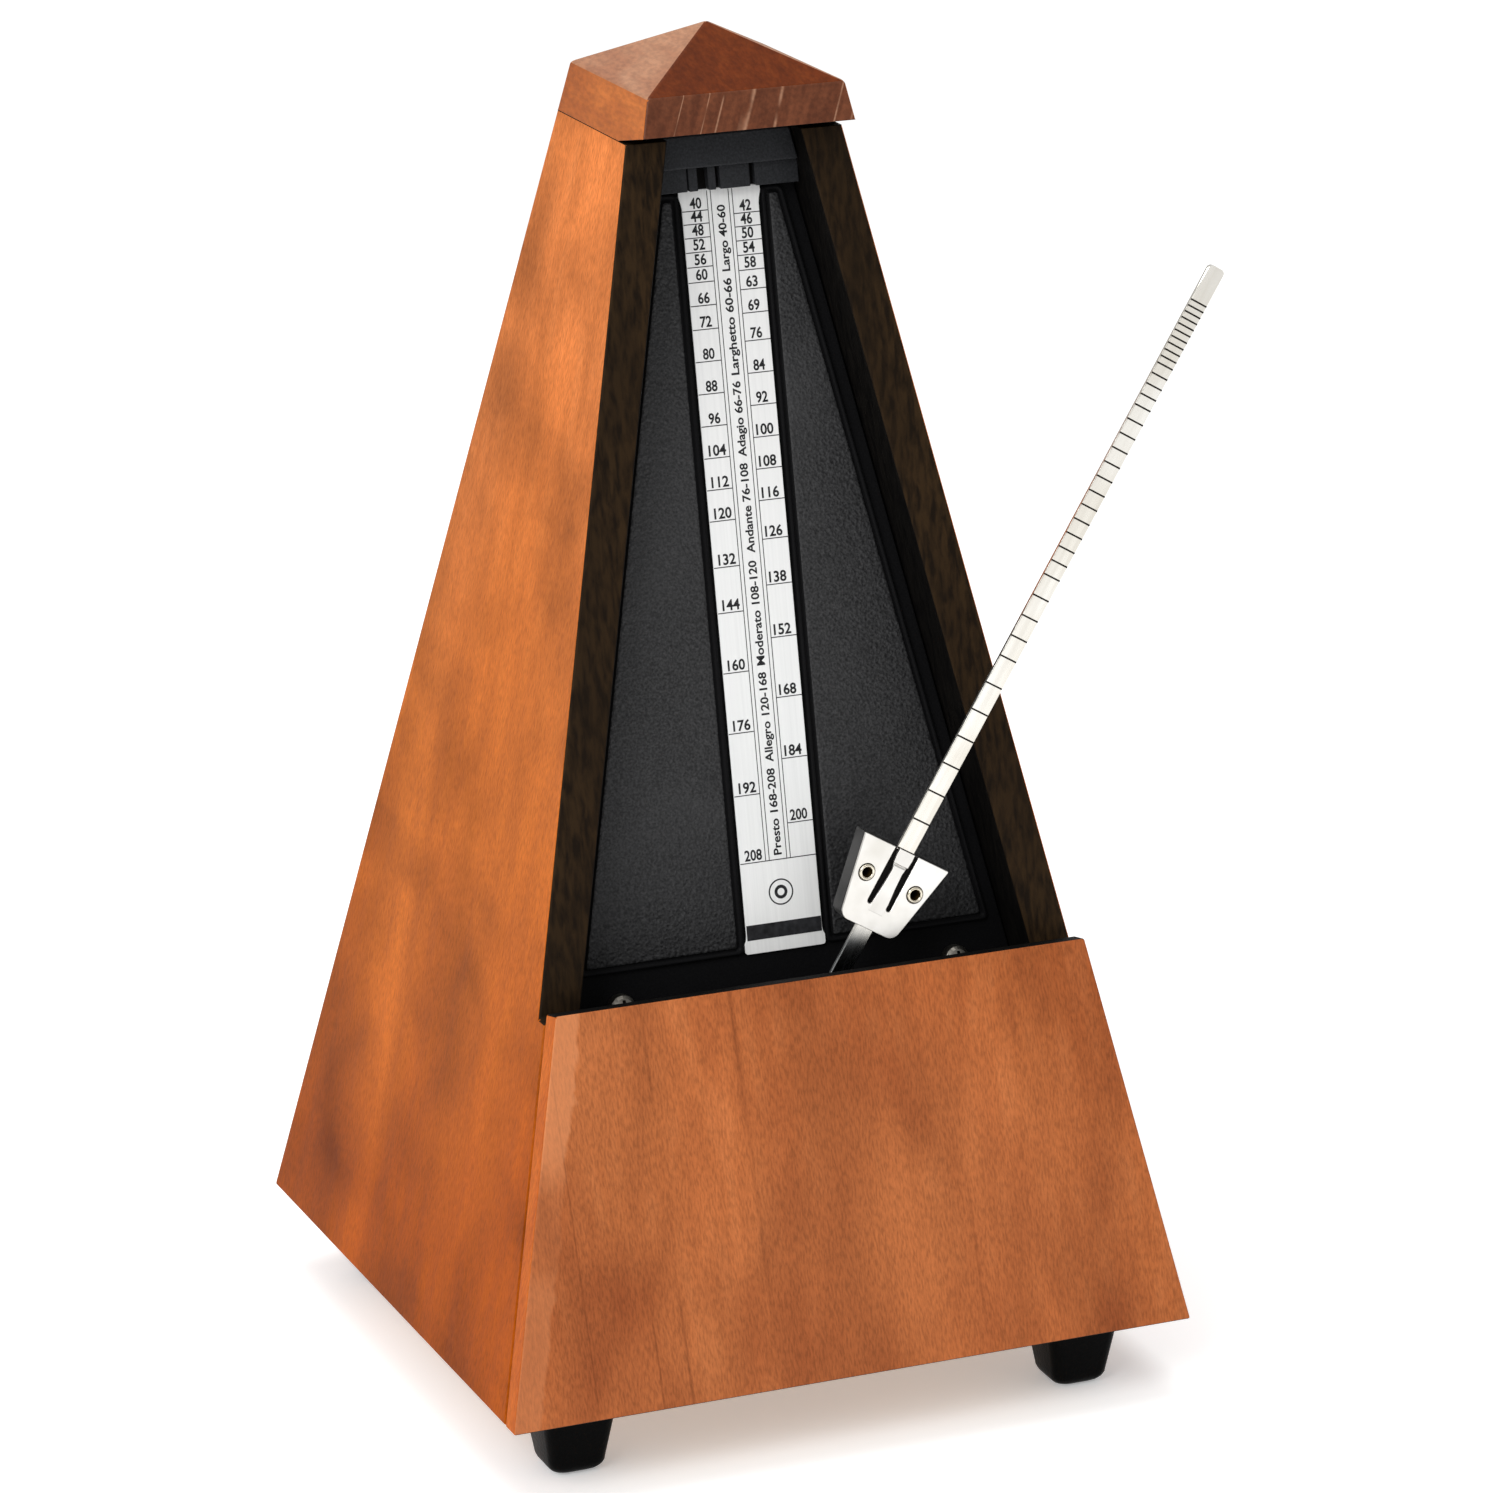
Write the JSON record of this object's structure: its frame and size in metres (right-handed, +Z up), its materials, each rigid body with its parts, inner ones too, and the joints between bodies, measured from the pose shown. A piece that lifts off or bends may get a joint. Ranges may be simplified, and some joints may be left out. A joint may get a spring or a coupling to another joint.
{
  "type": "metronome",
  "caption": "Wooden pyramid metronome with its front cover off: black dial, tempo scale, tilted pendulum rod with sliding weight, and a wind-up movement inside.",
  "frame": {"origin": "on the surface that the feet stand on, below the middle of the whole outline with the pendulum tilted to the right; the case's own centre line is 6.9 mm to the left (-X) of it", "axes": "+Z up, +X to the right of someone facing the dial, -Y out of the dial towards them"},
  "size_m": [0.1298, 0.116, 0.2187],
  "materials": {
    "case_wood": "satin lacquer",
    "front_panel_wood": "satin lacquer",
    "cap_wood": "satin lacquer",
    "inner_wood": "raw",
    "black_plastic": "matt",
    "dial_plastic": "grained",
    "scale_metal": "brushed, printed",
    "nickel": "polished",
    "eyelet_metal": "plated",
    "brass": "turned",
    "steel": "plain"
  },
  "bodies": {
    "case": {"back_bridge": "brass", "back_wall": "case_wood", "base_board": "inner_wood", "click_screw": "steel", "click_spring": "steel", "dial_plate": "dial_plastic", "dial_rail_left": "inner_wood", "dial_rail_right": "inner_wood", "dial_screw_left": "nickel", "dial_screw_right": "nickel", "escape_cock": "brass", "foot_back_left": "black_plastic", "foot_back_right": "black_plastic", "foot_front_left": "black_plastic", "foot_front_right": "black_plastic", "foot_screw_back_left": "steel", "foot_screw_back_right": "steel", "foot_screw_front_left": "steel", "foot_screw_front_right": "steel", "frame_screw_1": "steel", "frame_screw_2": "steel", "frame_screw_3": "steel", "frame_screw_4": "steel", "front_bridge": "brass", "front_panel": "front_panel_wood", "key_bush": "brass", "left_wall": "case_wood", "movement_frame": "steel", "pendulum_catch": "black_plastic", "pillar_1": "brass", "pillar_2": "brass", "right_wall": "case_wood", "scale_strip": "scale_metal", "top_cap": "cap_wood"},
    "pendulum": {"pendulum_rod": "nickel", "pendulum_arbor": "steel", "arbor_nut": "brass", "pallet_front": "steel", "pallet_back": "steel", "pendulum_bob": "steel", "bob_screw": "steel"},
    "weight": {"weight_plate": "nickel", "weight_block": "nickel", "weight_eyelet_left": "eyelet_metal", "weight_eyelet_right": "eyelet_metal"},
    "barrel": {"barrel_drum": "brass", "great_wheel": "brass", "barrel_cover": "brass", "mainspring": "steel"},
    "intermediate": {"intermediate_arbor": "steel", "intermediate_wheel": "brass"},
    "escape": {"escape_arbor": "steel", "crown_wheel": "brass"},
    "winding": {"winding_arbor": "steel", "ratchet_wheel": "steel", "winding_key": "brass"},
    "click": {"click": "steel"}
  },
  "joints": [
    {"name": "pendulum_swing", "type": "hinge", "parent": "case", "child": "pendulum", "pos_m": [-0.0069, -0.037, 0.0628], "axis": [0, 1, 0], "range_deg": [-65.07, 2.93]},
    {"name": "weight_slide", "type": "slide", "parent": "pendulum", "child": "weight", "axis": [0.5161, 0, 0.8565], "range_m": [-0.00553, 0.0974]},
    {"name": "barrel_spin", "type": "hinge", "parent": "case", "child": "barrel", "pos_m": [-0.0069, 0.013, 0.044], "axis": [1, 0, 0], "continuous": true},
    {"name": "intermediate_spin", "type": "hinge", "parent": "case", "child": "intermediate", "pos_m": [-0.0069, -0.01089, 0.04942], "axis": [1, 0, 0], "continuous": true},
    {"name": "escape_spin", "type": "hinge", "parent": "case", "child": "escape", "pos_m": [-0.0069, -0.015, 0.0628], "axis": [1, 0, 0], "continuous": true},
    {"name": "key_wind", "type": "hinge", "parent": "case", "child": "winding", "pos_m": [-0.0069, 0.013, 0.044], "axis": [1, 0, 0], "continuous": true},
    {"name": "click_tilt", "type": "hinge", "parent": "case", "child": "click", "pos_m": [-0.0069, 0.022, 0.056], "axis": [-1, 0, 0], "range_deg": [0, 12], "stiffness_Nm_per_rad": 0.02, "springref_deg": -5.73}
  ],
  "couplings": [
    {"joint": "intermediate_spin", "follows": "barrel_spin", "ratio": -6},
    {"joint": "escape_spin", "follows": "barrel_spin", "ratio": 36}
  ]
}
